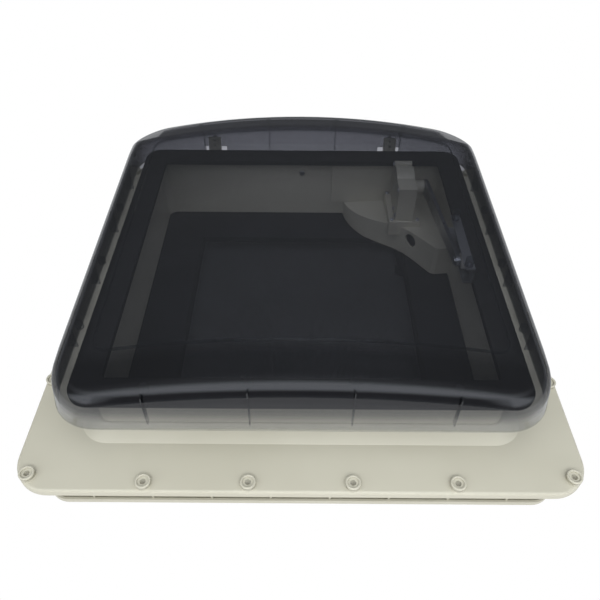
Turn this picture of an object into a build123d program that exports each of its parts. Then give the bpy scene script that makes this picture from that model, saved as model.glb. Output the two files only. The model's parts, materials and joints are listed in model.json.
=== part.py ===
"""Crank-up roof vent with a smoked dome lid, in millimetres.

+Z is up and -Y is the front, the side that opens. The origin is under the middle of the
interior trim ring. The roof lies between the trim ring and the flange of the base frame.
"""

import math
import os

from build123d import *

os.makedirs("parts", exist_ok=True)

# Base frame: flange on the roof, neck through the roof, coaming above it
FLANGE_SIDE = 480.0
FLANGE_CORNER_R = 32.0
FLANGE_TOP = 50.0
FLANGE_WALL = 3.5
FLANGE_LIP = 7.0
LIP_WALL = 4.0
NECK_INSIDE = 350.0
NECK_WALL = 3.0
NECK_BOTTOM = 12.2
COAMING_TOP = 100.0
NECK_CORNER_R = 9.0
FOOT_SIDE = 392.0
FOOT_HEIGHT = 8.0
HOLE_PITCH = 86.0
HOLE_INSET = 7.5
CORNER_HOLE = 226.0
HOLE_R = 2.5
BOSS_R = 6.3
BOSS_HEIGHT = 3.5

# Interior trim ring
RING_SIDE = 450.0
RING_CORNER_R = 20.0
RING_WALL = 3.0
RING_RIM = 6.7
COLLAR_TOP = 13.5
COLLAR_OUTSIDE = 349.0
COLLAR_WALL = 2.0
RIB_PITCH = 52.0
PILLAR_AT = 165.0
PILLAR_R = 5.0
CORNER_PAD = 15.5
BLOCK_Z = (14.0, 18.5)
BLOCK_AT = 166.5
BLOCK_SIDE = 17.0
RING_LIP = 2.0
RIB_END = 223.0
RIB_WALL = 1.5
RIB_HEIGHT = 9.0
TRIM_SCREW_R = 1.7
TRIM_HEAD_R = 3.8
TRIM_SCREW_TOP = 15.5

# Insect screen: a mitred hopper frame round a flat mesh
SCREEN_OUTSIDE = 348.0
SCREEN_TOP = 23.0
SCREEN_INSIDE = 252.0
SCREEN_FLOOR = 17.0
SCREEN_WALL = 2.0
BORDER = (246.0, 262.0)
GROOVE = (251.0, 256.0)
MESH_WALL = 0.5
BORDER_DEPTH = 3.0
GROOVE_DEPTH = 2.0
FOOT_AT = 163.0
SCREEN_FOOT = 2.5

# Pod that carries the gearbox in the rear right corner
POD_CURVE = [(55, 176), (60, 158), (86, 128), (121, 106), (140, 82), (154, 60)]
POD_END = (159, 57)
POD_WALL = 2.5
POD_BOTTOM = 14.0
POD_ROOF = Plane(origin=(60, 158, 43), z_dir=(-0.07, 0.094, 1))
POD_PORT_R = 8.5
POD_PORT = (131.5, 93.0, 42.0)
POD_ROOF_WALL = 3.0
POD_GAP = 1.0
PAD_LEFT = 38.0
PAD_RIGHT = 172.0
PAD_WALL = 3.0
PAD_BOTTOM = 42.0
PLINTH_AT = (125.0, 139.0)
PLINTH_SIZE = (38.0, 66.0)
PLINTH_TOP = 57.0
PLINTH_DEPTH = 16.0
WALL_SCREW_Z = 84.0
BUSH_R = 6.5
SMALL_SCREW_R = 1.5
MOUNT_SCREWS = [(109.5, 111.0), (140.5, 111.0), (109.5, 167.0), (140.5, 167.0)]

# Seal on the coaming, wider than its rim on both sides
SEAL_OUTSIDE = 386.0
SEAL_INSIDE = 334.0
SEAL_LEG = 9.0

# Lid
LID_SIDE = 416.0
LID_BOTTOM = 91.0
LID_CORNER_R = 42.0
LID_DRAFT = 3.0
LID_WALL = 3.0
LID_CROWN = 150.0
LID_TILT = 1.45
LID_INSIDE_TOP = 160.0
CROWN_R = 850.0
CREASE_X = 173.0
CREASE_Y = 158.0
APRON_SLOPE = 0.24
EDGE_R = 11.0
SEAL_RIB = (362.0, 366.0)
SEAL_TOP = 106.0
LID_RIBS = (-123.0, -41.0, 41.0, 123.0)
LID_BOSS_AT = 192.0
LID_BOSS_Z = 124.0
FRONT_RIB_Y = -154.0
FRONT_RIB_Z = 122.0
WINDOW_TOP = 104.0
LUG_WIDTH = 15.0
LUG_R = 5.5
LUG_FACE = 203.0
LUG_WALL = 4.0
LUG_TOP = 118.0
LUG_SCREW_Z = (109.0, 115.0)

# Hinge along the rear edge
HINGE_Y = 198.0
HINGE_Z = 94.0
HINGE_X = 110.0
PIN_R = 2.5
RUNNING = 0.05
EAR_R = 6.0
BRACKET_Y = 207.0
BRACKET_WALL = 3.0
EARS = (-11.0, 8.0)
EAR_WALL = 3.0
BRACKET_SCREWS = [(side * HINGE_X + dx, 212.0) for side in (-1, 1) for dx in (-4.5, 4.5)]

# Lift arm, slide shoe and lid rail
ARM_X = 152.0
ARM_WALL = 4.0
PIVOT_Y = 146.0
PIVOT_Z = 84.0
SHOE_Y = -30.0
SHOE_Z = 118.0
RAIL_X = (155.2, 164.5)
RAIL_Y = (-52.0, 32.0)
RAIL_Z = (108.7, 126.3)
RAIL_WALL = 1.5
RAIL_SCREW_Y = (-46.0, 26.0)
RAIL_SCREW_X = 159.0
RAIL_BOSS_R = 4.0

# Worm gear
MODULE = 1.5
WHEEL_TEETH = 28
WORM_PITCH_R = 6.0
GEAR_X = 125.0
WHEEL_WIDTH = 9.0
AXLE_R = 4.0
HOUSING_X = (116.5, 134.0)
COVER_WALL = 3.5
SLEEVE_END = 149.0
SLEEVE_R = 8.0
HOUSING_R = 25.4
HOUSING_FRONT = 109.0
HOUSING_TALL = 48.0
HOUSING_MID = -3.0
FOOT_PLATE = 3.0
WHEEL_ROOM = 23.2
WORM_ROOM = 8.2
WORM_TALL = 26.0
SHAFT_R = 4.0
SHAFT_TOP = 102.0
BUSH_BOTTOM = 44.0
BUSH_TOP = 65.0
COVER_SCREWS = [(-34.0, -17.4), (-34.0, 18.0), (-17.0, -19.5), (16.5, 21.5)]
EAR_AT = [(16.5, 21.5)]
COVER_EAR_R = 4.0
TOOTH_ROOT = 1.2
TOOTH_TIP = 0.5

# Axle, pin and clip on the lift arm
ARM_HUB_R = 9.0
ARM_TIP_R = 5.5
SHOE_PIN_R = 2.5
SHOE_X = (155.6, 161.6)
SHOE_LONG = 16.0
SHOE_TALL = 10.0
CLIP_WALL = 1.2
CLIP_R = 7.0
CLIP_GROOVE_R = 3.0

# Worm thread and crank
WORM_ROOT_R = 4.4
THREAD_TALL = 2.8
THREAD_FOOT = 1.5
THREAD_ROOT = 0.9
THREAD_TIP = 0.45
CRANK_HUB_R = 9.0
CRANK_TIP_R = 6.0
KNOB_PIN_R = 2.0
KNOB_Z = (1.0, 9.3)

# Crank under the screen
CRANK_Z = 9.5
CRANK_WALL = 3.0
CRANK_RADIUS = 37.0
KNOB_R = 8.5

WHEEL_PITCH_R = MODULE * WHEEL_TEETH / 2
WORM_Y = PIVOT_Y - WHEEL_PITCH_R - WORM_PITCH_R
NECK_OUTSIDE = NECK_INSIDE + 2 * NECK_WALL
CROSS = [(sx, sy) for sx in (-1, 1) for sy in (-1, 1)]
AXIS_X = Plane(origin=(0, PIVOT_Y, PIVOT_Z), x_dir=(0, 1, 0), z_dir=(1, 0, 0))


def finish(part, name):
    """Label a finished piece and write its STEP file."""
    part.label = name
    export_step(part, f"parts/{name}.step")


def square(side, corner, bottom, top):
    """Upright block with a rounded square plan."""
    with BuildPart() as block:
        with BuildSketch(Plane.XY.offset(bottom)):
            RectangleRounded(side, side, corner)
        extrude(amount=top - bottom)
    return block.part


def side_view(x):
    """Plane across the vent at x, with +Y to the right and +Z up."""
    return Plane(origin=(x, 0, 0), x_dir=(0, 1, 0), z_dir=(1, 0, 0))


def roof_holes():
    """Plan positions of the roofing screws: two pairs on each side, and the corners."""
    edge = FLANGE_SIDE / 2 - HOLE_INSET
    places = [(sx * CORNER_HOLE, sy * CORNER_HOLE) for sx, sy in CROSS]
    for step in (0.5, 1.5):
        places += [(sx * step * HOLE_PITCH, sy * edge) for sx, sy in CROSS]
        places += [(sx * edge, sy * step * HOLE_PITCH) for sx, sy in CROSS]
    return places


def pod_front(grow):
    """Points of the pod's S-shaped front, moved outwards by grow."""
    moved = []
    last = len(POD_CURVE) - 1
    for i, (x, y) in enumerate(POD_CURVE):
        before, after = POD_CURVE[max(i - 1, 0)], POD_CURVE[min(i + 1, last)]
        run = (after[0] - before[0], after[1] - before[1])
        length = math.hypot(*run)
        moved.append((x + run[1] / length * grow, y - run[0] / length * grow))
    return moved


def pod_outline(grow):
    """Plan of the pod, between its front wall and the neck's corner, grown at the front."""
    reach = NECK_INSIDE / 2 + 1
    curve = pod_front(grow)
    with BuildSketch() as plan:
        with BuildLine():
            Spline(*curve)
            Polyline(
                curve[-1],
                (POD_END[0], POD_END[1] - grow),
                (reach, POD_END[1] - grow),
                (reach, reach - 11),
                (reach - 11, reach),
                curve[0],
            )
        make_face()
    return plan.sketch


def pod_block(grow, bottom, below_roof):
    """Pod as a solid block under its sloping roof."""
    roof = POD_ROOF.offset(-below_roof)
    with BuildPart() as block:
        with BuildSketch(Plane.XY.offset(bottom)):
            add(pod_outline(grow))
        extrude(amount=60)
        split(bisect_by=roof, keep=Keep.BOTTOM)
    return block.part


# Base frame ------------------------------------------------------------------------------

with BuildPart() as base_frame:
    add(square(FLANGE_SIDE, FLANGE_CORNER_R, FLANGE_TOP - FLANGE_LIP, FLANGE_TOP))
    fillet(base_frame.faces().sort_by(Axis.Z)[-1].edges(), radius=2.5)
    pocket = FLANGE_SIDE - 2 * LIP_WALL
    add(
        square(pocket, FLANGE_CORNER_R - LIP_WALL, FLANGE_TOP - FLANGE_LIP, FLANGE_TOP - FLANGE_WALL),
        mode=Mode.SUBTRACT,
    )
    with BuildSketch(Plane.XY.offset(FLANGE_TOP)):
        with Locations(*roof_holes()):
            Circle(BOSS_R)
    extrude(amount=BOSS_HEIGHT)
    with BuildSketch(Plane.XY.offset(FLANGE_TOP - 0.5)):
        RectangleRounded(FOOT_SIDE, FOOT_SIDE, 28)
    with BuildSketch(Plane.XY.offset(FLANGE_TOP + FOOT_HEIGHT)):
        RectangleRounded(NECK_OUTSIDE + 3, NECK_OUTSIDE + 3, NECK_CORNER_R + NECK_WALL)
    loft()
    add(square(NECK_OUTSIDE, NECK_CORNER_R + NECK_WALL, NECK_BOTTOM, COAMING_TOP))
    add(square(NECK_INSIDE, NECK_CORNER_R, NECK_BOTTOM - 1, COAMING_TOP + 1), mode=Mode.SUBTRACT)
    # Pod, hollow from below, and the plinth for the gearbox
    add(pod_block(0, POD_BOTTOM, 0))
    with BuildSketch(Plane.XY.offset(PLINTH_TOP)):
        with Locations((PLINTH_AT[0], PLINTH_AT[1])):
            Rectangle(*PLINTH_SIZE)
    extrude(amount=-PLINTH_DEPTH)
    add(pod_block(-POD_WALL, POD_BOTTOM - 1, POD_ROOF_WALL), mode=Mode.SUBTRACT)
    # Proud pad on the rear wall above the pod
    with BuildSketch(Plane.XY.offset(PAD_BOTTOM)):
        with Locations(((PAD_LEFT + PAD_RIGHT) / 2, (NECK_INSIDE - PAD_WALL) / 2)):
            Rectangle(PAD_RIGHT - PAD_LEFT, PAD_WALL)
    extrude(amount=COAMING_TOP - PAD_BOTTOM)
    # Corner blocks that take the trim screws
    with BuildSketch(Plane.XY.offset(BLOCK_Z[0])):
        with Locations(*[(sx * BLOCK_AT, sy * BLOCK_AT) for sx, sy in CROSS]):
            Rectangle(BLOCK_SIDE, BLOCK_SIDE)
    extrude(amount=BLOCK_Z[1] - BLOCK_Z[0])
    # Holes: roofing screws, crank shaft, pod port and the small screws
    with BuildSketch(Plane.XY.offset(FLANGE_TOP - FLANGE_LIP - 1)):
        with Locations(*roof_holes()):
            Circle(HOLE_R)
        with Locations(*BRACKET_SCREWS):
            Circle(SMALL_SCREW_R + 0.05)
        with Locations(*MOUNT_SCREWS):
            Circle(SMALL_SCREW_R + 0.05)
        with Locations((GEAR_X, WORM_Y)):
            Circle(BUSH_R)
    extrude(amount=20, mode=Mode.SUBTRACT)
    with BuildSketch(Plane.XY.offset(NECK_BOTTOM)):
        with Locations(*[(sx * PILLAR_AT, sy * PILLAR_AT) for sx, sy in CROSS]):
            Circle(TRIM_SCREW_R + 0.05)
    extrude(amount=BLOCK_Z[1] - NECK_BOTTOM - 1.5, mode=Mode.SUBTRACT)
    with BuildSketch(Plane(origin=POD_PORT, z_dir=(-24, -19, 0))):
        Circle(POD_PORT_R)
    extrude(amount=6, both=True, mode=Mode.SUBTRACT)
    with BuildSketch(Plane(origin=(0, NECK_INSIDE / 2, WALL_SCREW_Z), z_dir=(0, 1, 0))):
        Circle(SMALL_SCREW_R + 0.05)
    extrude(amount=NECK_WALL, mode=Mode.SUBTRACT)
finish(base_frame.part, "base_frame")

with BuildPart() as wall_screw:
    with BuildSketch(Plane(origin=(0, NECK_INSIDE / 2 + NECK_WALL, WALL_SCREW_Z), z_dir=(0, -1, 0))):
        Circle(SMALL_SCREW_R)
    extrude(amount=NECK_WALL + 0.5)
    with BuildSketch(Plane(origin=(0, NECK_INSIDE / 2, WALL_SCREW_Z), z_dir=(0, -1, 0))):
        Circle(3.2)
    extrude(amount=1.8)
    fillet(wall_screw.faces().sort_by(Axis.Y)[0].edges(), radius=0.9)
finish(wall_screw.part, "wall_screw")

# Rubber seal on the coaming: a wide flat frame on the rim with a leg down the outside
with BuildPart() as coaming_seal:
    add(square(SEAL_OUTSIDE, 19, COAMING_TOP, SEAL_TOP))
    fillet(coaming_seal.faces().sort_by(Axis.Z)[-1].edges(), radius=2)
    add(square(NECK_OUTSIDE + 6, NECK_CORNER_R + 6, COAMING_TOP - SEAL_LEG, COAMING_TOP))
    add(square(SEAL_INSIDE, 4, COAMING_TOP, SEAL_TOP), mode=Mode.SUBTRACT)
    leg = square(NECK_OUTSIDE, NECK_CORNER_R + NECK_WALL, COAMING_TOP - SEAL_LEG, COAMING_TOP)
    add(leg, mode=Mode.SUBTRACT)
finish(coaming_seal.part, "coaming_seal")

# Interior trim ring ----------------------------------------------------------------------

with BuildPart() as trim_ring:
    add(square(RING_SIDE, RING_CORNER_R, 0, RING_RIM))
    fillet(trim_ring.faces().sort_by(Axis.Z)[0].edges(), radius=2)
    lip = RING_SIDE - 2 * RING_LIP
    add(square(lip, RING_CORNER_R - RING_LIP, RING_WALL, RING_RIM), mode=Mode.SUBTRACT)
    add(square(COLLAR_OUTSIDE, NECK_CORNER_R, 0, COLLAR_TOP))
    collar_inside = COLLAR_OUTSIDE - 2 * COLLAR_WALL
    add(square(collar_inside, NECK_CORNER_R - COLLAR_WALL, -1, COLLAR_TOP + 1), mode=Mode.SUBTRACT)
    with BuildSketch(Plane.XY):
        pad_at = (collar_inside + 1 - CORNER_PAD) / 2
        with Locations(*[(sx * pad_at, sy * pad_at) for sx, sy in CROSS]):
            Rectangle(CORNER_PAD, CORNER_PAD)
    extrude(amount=RING_WALL)
    with BuildSketch(Plane.XY):
        with Locations(*[(sx * PILLAR_AT, sy * PILLAR_AT) for sx, sy in CROSS]):
            Circle(PILLAR_R)
    extrude(amount=BLOCK_Z[0])
    # Stiffening ribs between the collar and the rim
    with BuildSketch(Plane.XY.offset(RING_WALL)):
        for step in range(8):
            along = (step - 3.5) * RIB_PITCH
            across = (COLLAR_OUTSIDE / 2 + RIB_END) / 2
            length = RIB_END - COLLAR_OUTSIDE / 2
            with Locations((along, across), (along, -across)):
                Rectangle(RIB_WALL, length)
            with Locations((across, along), (-across, along)):
                Rectangle(length, RIB_WALL)
    extrude(amount=RIB_HEIGHT)
    with Locations(Plane(origin=(0, 0, 0), z_dir=(0, 0, -1))):
        with Locations(*[(sx * PILLAR_AT, sy * PILLAR_AT) for sx, sy in CROSS]):
            CounterSinkHole(TRIM_SCREW_R + 0.4, TRIM_HEAD_R + 0.1, BLOCK_Z[0] + 1)
finish(trim_ring.part, "trim_ring")

with BuildPart() as trim_screw:
    with BuildSketch(Plane.XZ):
        with BuildLine():
            Polyline(
                (0, 0.1),
                (TRIM_HEAD_R, 0.1),
                (TRIM_SCREW_R, TRIM_HEAD_R - TRIM_SCREW_R + 0.1),
                (TRIM_SCREW_R, TRIM_SCREW_TOP),
                (0, TRIM_SCREW_TOP + 1.2),
                close=True,
            )
        make_face()
    revolve(axis=Axis.Z)

with BuildPart() as trim_screws:
    with Locations(*[(sx * PILLAR_AT, sy * PILLAR_AT) for sx, sy in CROSS]):
        add(trim_screw.part)
finish(trim_screws.part, "trim_screws")

# Insect screen ---------------------------------------------------------------------------


def hopper(drop):
    """Square funnel from the screen's rim down to its floor, lowered by drop."""
    with BuildPart() as funnel:
        with BuildSketch(Plane.XY.offset(SCREEN_TOP - drop)):
            Rectangle(SCREEN_OUTSIDE, SCREEN_OUTSIDE)
        with BuildSketch(Plane.XY.offset(SCREEN_FLOOR - drop)):
            Rectangle(SCREEN_INSIDE, SCREEN_INSIDE)
        loft()
    return funnel.part


with BuildPart() as screen_frame:
    add(hopper(SCREEN_WALL))
    add(square(SCREEN_OUTSIDE, 0.5, SCREEN_TOP - SCREEN_WALL, SCREEN_TOP))
    add(hopper(0), mode=Mode.SUBTRACT)
    add(square(BORDER[1], 2, SCREEN_FLOOR - BORDER_DEPTH, SCREEN_FLOOR))
    add(square(BORDER[0], 2, 0, SCREEN_TOP), mode=Mode.SUBTRACT)
    groove_floor = SCREEN_FLOOR - GROOVE_DEPTH
    with BuildSketch(Plane.XY.offset(groove_floor)):
        Rectangle(GROOVE[1], GROOVE[1])
        Rectangle(GROOVE[0], GROOVE[0], mode=Mode.SUBTRACT)
    extrude(amount=GROOVE_DEPTH + 5, mode=Mode.SUBTRACT)
    # Feet on the corner blocks of the neck
    with BuildSketch(Plane.XY.offset(BLOCK_Z[1])):
        with Locations(*[(sx * FOOT_AT, sy * FOOT_AT) for sx, sy in CROSS if sx + sy < 2]):
            Circle(4)
    extrude(amount=SCREEN_FOOT)
    # Room for the corner radius of the neck and for the pod
    outside = square(SCREEN_OUTSIDE + 60, 2, 0, SCREEN_TOP + 1)
    inside = square(SCREEN_OUTSIDE, NECK_CORNER_R, -1, SCREEN_TOP + 2)
    add(outside - inside, mode=Mode.SUBTRACT)
    add(extrude(pod_outline(POD_GAP), amount=SCREEN_TOP + 5), mode=Mode.SUBTRACT)
    with BuildSketch(Plane.XY):
        with Locations((SCREEN_OUTSIDE / 2, SCREEN_OUTSIDE / 2)):
            Rectangle(20, 20)
    extrude(amount=SCREEN_TOP + 5, mode=Mode.SUBTRACT)
finish(screen_frame.part, "screen_frame")

with BuildPart() as screen_mesh:
    with BuildSketch(Plane.XY.offset(SCREEN_FLOOR)):
        Rectangle(GROOVE[0], GROOVE[0])
    extrude(amount=MESH_WALL)
    add(extrude(pod_outline(POD_GAP), amount=SCREEN_TOP), mode=Mode.SUBTRACT)
finish(screen_mesh.part, "screen_mesh")

with BuildPart() as screen_spline:
    with BuildSketch(Plane.XY.offset(SCREEN_FLOOR - GROOVE_DEPTH)):
        Rectangle(GROOVE[1] - 0.2, GROOVE[1] - 0.2)
        Rectangle(GROOVE[0] + 0.2, GROOVE[0] + 0.2, mode=Mode.SUBTRACT)
    extrude(amount=GROOVE_DEPTH + 0.6)
    add(extrude(pod_outline(POD_GAP), amount=SCREEN_TOP), mode=Mode.SUBTRACT)
finish(screen_spline.part, "screen_spline")

# Hinge -----------------------------------------------------------------------------------

with BuildPart() as hinge_brackets:
    for side in (-1, 1):
        with BuildSketch(Plane.XY.offset(FLANGE_TOP)):
            with Locations((side * HINGE_X, BRACKET_Y)):
                RectangleRounded(26, 20, 2)
        extrude(amount=BRACKET_WALL)
        for ear in EARS:
            with BuildSketch(side_view(side * HINGE_X + ear)):
                with Locations((HINGE_Y, HINGE_Z)):
                    Circle(EAR_R)
                with BuildLine():
                    Polyline(
                        (HINGE_Y - EAR_R, HINGE_Z),
                        (HINGE_Y - EAR_R, FLANGE_TOP + 20),
                        (BRACKET_Y - 9, FLANGE_TOP),
                        (BRACKET_Y + 7, FLANGE_TOP),
                        (HINGE_Y + EAR_R, HINGE_Z),
                        close=True,
                    )
                make_face()
            extrude(amount=EAR_WALL)
        with BuildSketch(side_view(side * HINGE_X - 15)):
            with Locations((HINGE_Y, HINGE_Z)):
                Circle(PIN_R)
        extrude(amount=30, mode=Mode.SUBTRACT)
    with BuildSketch(Plane.XY.offset(FLANGE_TOP)):
        with Locations(*BRACKET_SCREWS):
            Circle(SMALL_SCREW_R + 0.05)
    extrude(amount=BRACKET_WALL, mode=Mode.SUBTRACT)
    # Clear of the sloping foot of the coaming
    foot = square(FOOT_SIDE, 28, FLANGE_TOP - 5, FLANGE_TOP + FOOT_HEIGHT)
    add(foot, mode=Mode.SUBTRACT)
finish(hinge_brackets.part, "hinge_brackets")

with BuildPart() as hinge_pins:
    for side in (-1, 1):
        with BuildSketch(side_view(side * HINGE_X - 12)):
            with Locations((HINGE_Y, HINGE_Z)):
                Circle(PIN_R)
        extrude(amount=24)
    chamfer(hinge_pins.edges().filter_by(GeomType.CIRCLE), length=0.4)
finish(hinge_pins.part, "hinge_pins")


def pan_screw(shank_r, head_r, head, length, point=0.8):
    """Pan head screw along Z, its head on top of the plane z = 0 and its shank below."""
    with BuildPart() as screw:
        with BuildSketch(Plane.XZ):
            with BuildLine():
                Polyline(
                    (0, head),
                    (head_r * 0.7, head),
                    (head_r, head * 0.55),
                    (head_r, 0),
                    (shank_r, 0),
                    (shank_r, -length),
                    (0, -length - point),
                    close=True,
                )
            make_face()
        revolve(axis=Axis.Z)
        # Cross recess
        with BuildSketch(Plane.XY.offset(head)):
            Rectangle(head_r * 1.1, head_r * 0.28)
            Rectangle(head_r * 0.28, head_r * 1.1)
        extrude(amount=-head * 0.6, mode=Mode.SUBTRACT)
    return screw.part


def screw_set(places, direction, screw):
    """Group of equal screws with heads facing direction."""
    with BuildPart() as group:
        for place in places:
            with Locations(Plane(origin=place, z_dir=direction)):
                add(screw)
    return group.part


bracket_screw = pan_screw(SMALL_SCREW_R, 2.8, 2.0, 7)
heads = [(x, y, FLANGE_TOP + BRACKET_WALL) for x, y in BRACKET_SCREWS]
hinge_bracket_screws = screw_set(heads, (0, 0, 1), bracket_screw)
finish(hinge_bracket_screws, "hinge_bracket_screws")

# Lid -------------------------------------------------------------------------------------


def lid_crown(x):
    """Height of the lid's top surface at x, along its front crease."""
    if abs(x) <= CREASE_X:
        return LID_CROWN - CROWN_R + math.sqrt(CROWN_R**2 - x**2)
    return lid_crown(CREASE_X) - APRON_SLOPE * (abs(x) - CREASE_X)


def lid_form(inset):
    """Solid with the lid's outer shape, or with an inset its hollow."""
    side = LID_SIDE - 2 * inset
    reach = LID_SIDE / 2 + 4
    stations = [(-reach, APRON_SLOPE), (-CREASE_Y, 0), (CREASE_Y, 0), (reach, APRON_SLOPE)]
    front_crease = Axis((0, -CREASE_Y, LID_CROWN), (1, 0, 0))
    with BuildPart() as form:
        with BuildSketch(Plane.XY.offset(LID_BOTTOM)):
            RectangleRounded(side, side, LID_CORNER_R - inset)
        extrude(amount=70, taper=LID_DRAFT)
        with BuildPart(mode=Mode.PRIVATE) as crown:
            for (y0, s0), (y1, s1) in zip(stations, stations[1:]):
                for y, slope in ((y0, s0), (y1, s1)):
                    drop = slope * (reach - CREASE_Y) + inset
                    edge = lid_crown(reach) - drop
                    crease = lid_crown(CREASE_X) - drop
                    with BuildSketch(Plane(origin=(0, y, 0), x_dir=(1, 0, 0), z_dir=(0, -1, 0))):
                        with BuildLine():
                            Polyline((-CREASE_X, crease), (-reach, edge), (-reach, 60))
                            Polyline((-reach, 60), (reach, 60), (reach, edge), (CREASE_X, crease))
                            arc_top = (0, LID_CROWN - drop)
                            ThreePointArc((-CREASE_X, crease), arc_top, (CREASE_X, crease))
                        make_face()
                loft(ruled=True)
        # The top climbs a little towards the hinge
        add(crown.part.rotate(front_crease, LID_TILT), mode=Mode.INTERSECT)
        rim = [
            e
            for e in form.edges()
            if e.center().Z > LID_BOTTOM + 15
            and e.bounding_box().min.Z > LID_BOTTOM + 8
            and max(abs(e.center().X), abs(e.center().Y)) > side / 2 - LID_CORNER_R
            and (abs(e.center().X) > CREASE_X + 20 or abs(e.center().Y) > CREASE_Y + 20)
        ]
        fillet(rim, radius=EDGE_R - inset / 2)
    return form.part


with BuildPart() as lid_inside:
    # Everything that hangs inside the lid, cut to the lid's shape afterwards
    add(square(SEAL_RIB[1], 20, SEAL_TOP, LID_INSIDE_TOP))
    add(square(SEAL_RIB[0], 18, SEAL_TOP - 1, LID_INSIDE_TOP + 1), mode=Mode.SUBTRACT)
    with BuildSketch(Plane.XY.offset(FRONT_RIB_Z)):
        with Locations((0, FRONT_RIB_Y)):
            Rectangle(2 * CREASE_X - 20, 2)
    extrude(amount=25)
    with BuildSketch(Plane.XY.offset(LID_BOTTOM + 2)):
        for along in LID_RIBS:
            for edge in (-LID_SIDE / 2, LID_SIDE / 2):
                with Locations((along, edge)):
                    Rectangle(1.6, 17)
                with Locations((edge, along)):
                    Rectangle(17, 1.6)
    extrude(amount=40)
    with BuildSketch(Plane.XY.offset(LID_BOSS_Z)):
        for along in LID_RIBS:
            for edge in (-LID_BOSS_AT, LID_BOSS_AT):
                with Locations((along, edge), (edge, along)):
                    Circle(3.6)
    extrude(amount=25)
    with BuildSketch(Plane.XY.offset(RAIL_Z[1])):
        with Locations(*[(RAIL_SCREW_X, y) for y in RAIL_SCREW_Y]):
            Circle(RAIL_BOSS_R)
    extrude(amount=15)
    with BuildSketch(Plane.XY.offset(RAIL_Z[1] - 1)):
        with Locations(*[(RAIL_SCREW_X, y) for y in RAIL_SCREW_Y]):
            Circle(SMALL_SCREW_R + 0.05)
    extrude(amount=5, mode=Mode.SUBTRACT)

with BuildPart() as lid_dome:
    add(lid_form(0))
    add(lid_form(LID_WALL), mode=Mode.SUBTRACT)
    with BuildPart(mode=Mode.PRIVATE) as hanging:
        add(lid_inside.part)
        add(lid_form(LID_WALL - 0.5), mode=Mode.INTERSECT)
    add(hanging.part)
    # Windows in the rear skirt for the hinge brackets, and the lug screws' holes
    for side in (-1, 1):
        with BuildSketch(Plane.XY.offset(LID_BOTTOM - 1)):
            with Locations((side * HINGE_X, LID_SIDE / 2)):
                Rectangle(28, 24)
        extrude(amount=WINDOW_TOP - LID_BOTTOM + 1, mode=Mode.SUBTRACT)
    with BuildSketch(Plane(origin=(0, LUG_FACE - 6, 0), x_dir=(-1, 0, 0), z_dir=(0, 1, 0))):
        with Locations(*[(side * HINGE_X, z) for side in (-1, 1) for z in LUG_SCREW_Z]):
            Circle(SMALL_SCREW_R + 0.05)
    extrude(amount=14, mode=Mode.SUBTRACT)
finish(lid_dome.part, "lid_dome")

# Knuckle on the pin and a plate behind the rear skirt, joined by a web
with BuildPart() as lid_hinge_lugs:
    for side in (-1, 1):
        with BuildSketch(side_view(side * HINGE_X - LUG_WIDTH / 2)):
            with Locations((HINGE_Y, HINGE_Z)):
                Circle(LUG_R)
            with BuildLine():
                Polyline(
                    (HINGE_Y - LUG_R, HINGE_Z),
                    (LUG_FACE - LUG_WALL, LUG_TOP),
                    (LUG_FACE, LUG_TOP),
                    (LUG_FACE, HINGE_Z + 3),
                    (HINGE_Y + 4, HINGE_Z),
                    close=True,
                )
            make_face()
            with Locations((HINGE_Y, HINGE_Z)):
                Circle(PIN_R + RUNNING, mode=Mode.SUBTRACT)
        extrude(amount=LUG_WIDTH)
    with BuildSketch(Plane(origin=(0, LUG_FACE - 12, 0), x_dir=(-1, 0, 0), z_dir=(0, 1, 0))):
        with Locations(*[(side * HINGE_X, z) for side in (-1, 1) for z in LUG_SCREW_Z]):
            Circle(SMALL_SCREW_R + 0.05)
    extrude(amount=14, mode=Mode.SUBTRACT)
finish(lid_hinge_lugs.part, "lid_hinge_lugs")

skirt_out = LID_SIDE / 2 - math.tan(math.radians(LID_DRAFT)) * (LUG_SCREW_Z[0] - LID_BOTTOM) + 0.2
heads = [(side * HINGE_X, skirt_out, z) for side in (-1, 1) for z in LUG_SCREW_Z]
lug_screws = screw_set(heads, (0, 1, 0), pan_screw(SMALL_SCREW_R, 2.8, 1.8, 5.5))
finish(lug_screws, "lug_screws")

# C-shaped rail with its mouth towards the arm
with BuildPart() as lid_rail:
    with BuildSketch(Plane(origin=(0, RAIL_Y[0], 0), x_dir=(-1, 0, 0), z_dir=(0, 1, 0))):
        mid_x, mid_z = (RAIL_X[0] + RAIL_X[1]) / 2, (RAIL_Z[0] + RAIL_Z[1]) / 2
        width, height = RAIL_X[1] - RAIL_X[0], RAIL_Z[1] - RAIL_Z[0]
        with Locations((-mid_x, mid_z)):
            Rectangle(width, height)
        with Locations((-mid_x + RAIL_WALL, mid_z)):
            Rectangle(width, height - 2 * RAIL_WALL, mode=Mode.SUBTRACT)
    extrude(amount=RAIL_Y[1] - RAIL_Y[0])
    with BuildSketch(Plane.XY.offset(RAIL_Z[1] - RAIL_WALL)):
        with Locations(*[(RAIL_SCREW_X, y) for y in RAIL_SCREW_Y]):
            Circle(SMALL_SCREW_R + 0.05)
    extrude(amount=RAIL_WALL, mode=Mode.SUBTRACT)
finish(lid_rail.part, "lid_rail")

heads = [(RAIL_SCREW_X, y, RAIL_Z[1] - RAIL_WALL) for y in RAIL_SCREW_Y]
rail_screws = screw_set(heads, (0, 0, -1), pan_screw(SMALL_SCREW_R, 2.6, 1.6, 3.6))
finish(rail_screws, "rail_screws")

# Gearbox on the pod ----------------------------------------------------------------------

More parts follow.
